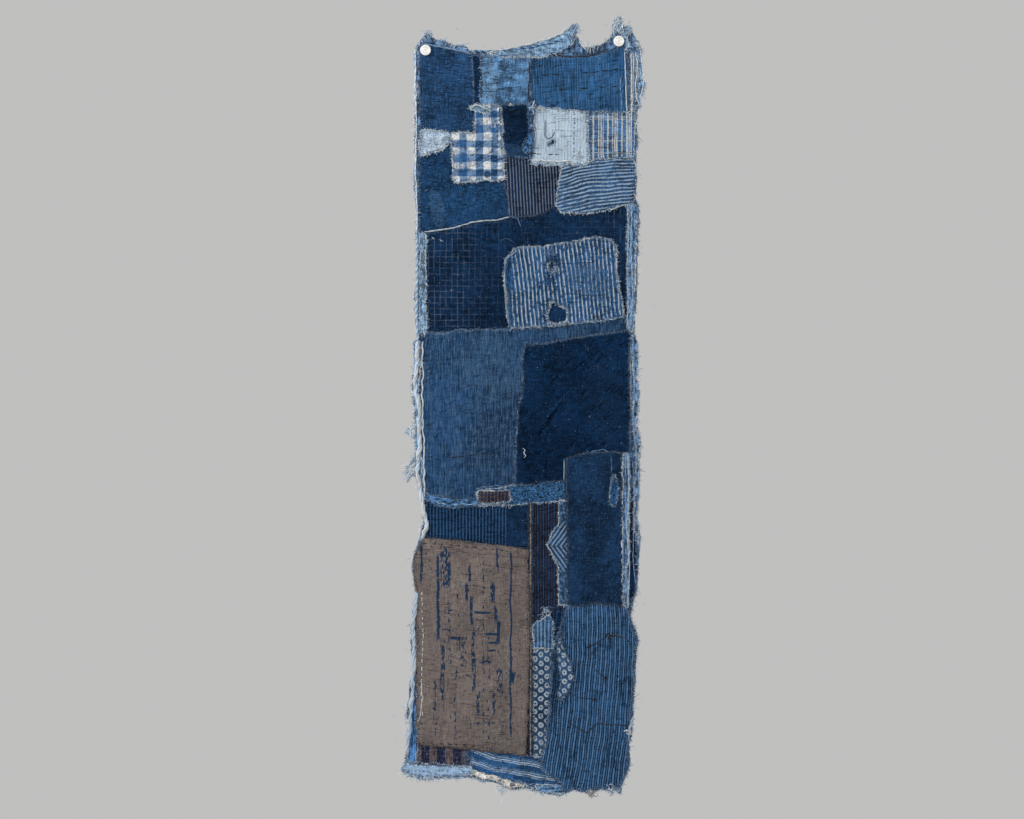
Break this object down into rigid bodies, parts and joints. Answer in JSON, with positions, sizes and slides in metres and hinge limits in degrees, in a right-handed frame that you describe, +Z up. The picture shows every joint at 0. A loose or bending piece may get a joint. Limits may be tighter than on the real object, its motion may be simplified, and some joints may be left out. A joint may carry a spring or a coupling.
{
  "type": "boro patched cloth hanging from two round heads",
  "caption": "Long narrow length of worn indigo patchwork cloth, mended all over with sewn patches, hanging from round metal heads at its top corners.",
  "frame": {"origin": "middle of the top hem, midway between the two round heads, in the plane of the backing cloth", "axes": "+Z up along the cloth, +X to the viewer's right across it, and the face with the patches looks along -Y"},
  "size_m": [0.367, 0.0108, 1.167],
  "materials": {
    "backing_cotton": "worn plain weave, frayed",
    "dark_indigo": "matt hand-woven cotton",
    "mid_blue": "matt faded cotton, striped and stitched",
    "pale_blue": "matt bleached cotton",
    "brown_weave": "matt worn-through cotton",
    "cream_cotton": "matt cotton",
    "plated_metal": "satin plated"
  },
  "bodies": {
    "root": {"backing_cloth": "backing_cotton", "patch_navy_slub": "dark_indigo", "patch_faded_blue": "mid_blue", "patch_stitched_blue": "mid_blue", "strip_top_right": "mid_blue", "patch_cream_lined": "mid_blue", "patch_pale_blue": "pale_blue", "patch_darkest": "dark_indigo", "patch_gingham": "pale_blue", "patch_pale_left": "pale_blue", "patch_indigo": "dark_indigo", "patch_pinstripe": "dark_indigo", "patch_ripple": "mid_blue", "patch_checked": "dark_indigo", "strip_left_pale": "pale_blue", "patch_blue_white": "pale_blue", "strip_right_pale": "pale_blue", "patch_worn_blue": "mid_blue", "patch_dark_navy": "dark_indigo", "strip_right_upper": "mid_blue", "patch_slate": "dark_indigo", "strip_right_light": "pale_blue", "flap_navy": "dark_indigo", "band_speckled": "brown_weave", "patch_fine_stripe": "mid_blue", "strip_selvedge": "brown_weave", "patch_brown_stripe": "brown_weave", "patch_slant_stripe": "mid_blue", "patch_grey_brown": "brown_weave", "strip_left_low": "mid_blue", "patch_light_stripe": "pale_blue", "patch_ring_dots": "mid_blue", "fold_dark": "dark_indigo", "patch_big_stripe": "mid_blue", "band_plaid": "brown_weave", "patch_streaked": "mid_blue", "patch_pale_bottom": "pale_blue", "scrap_cream": "cream_cotton", "head_left": "plated_metal", "head_right": "plated_metal"}
  },
  "joints": []
}
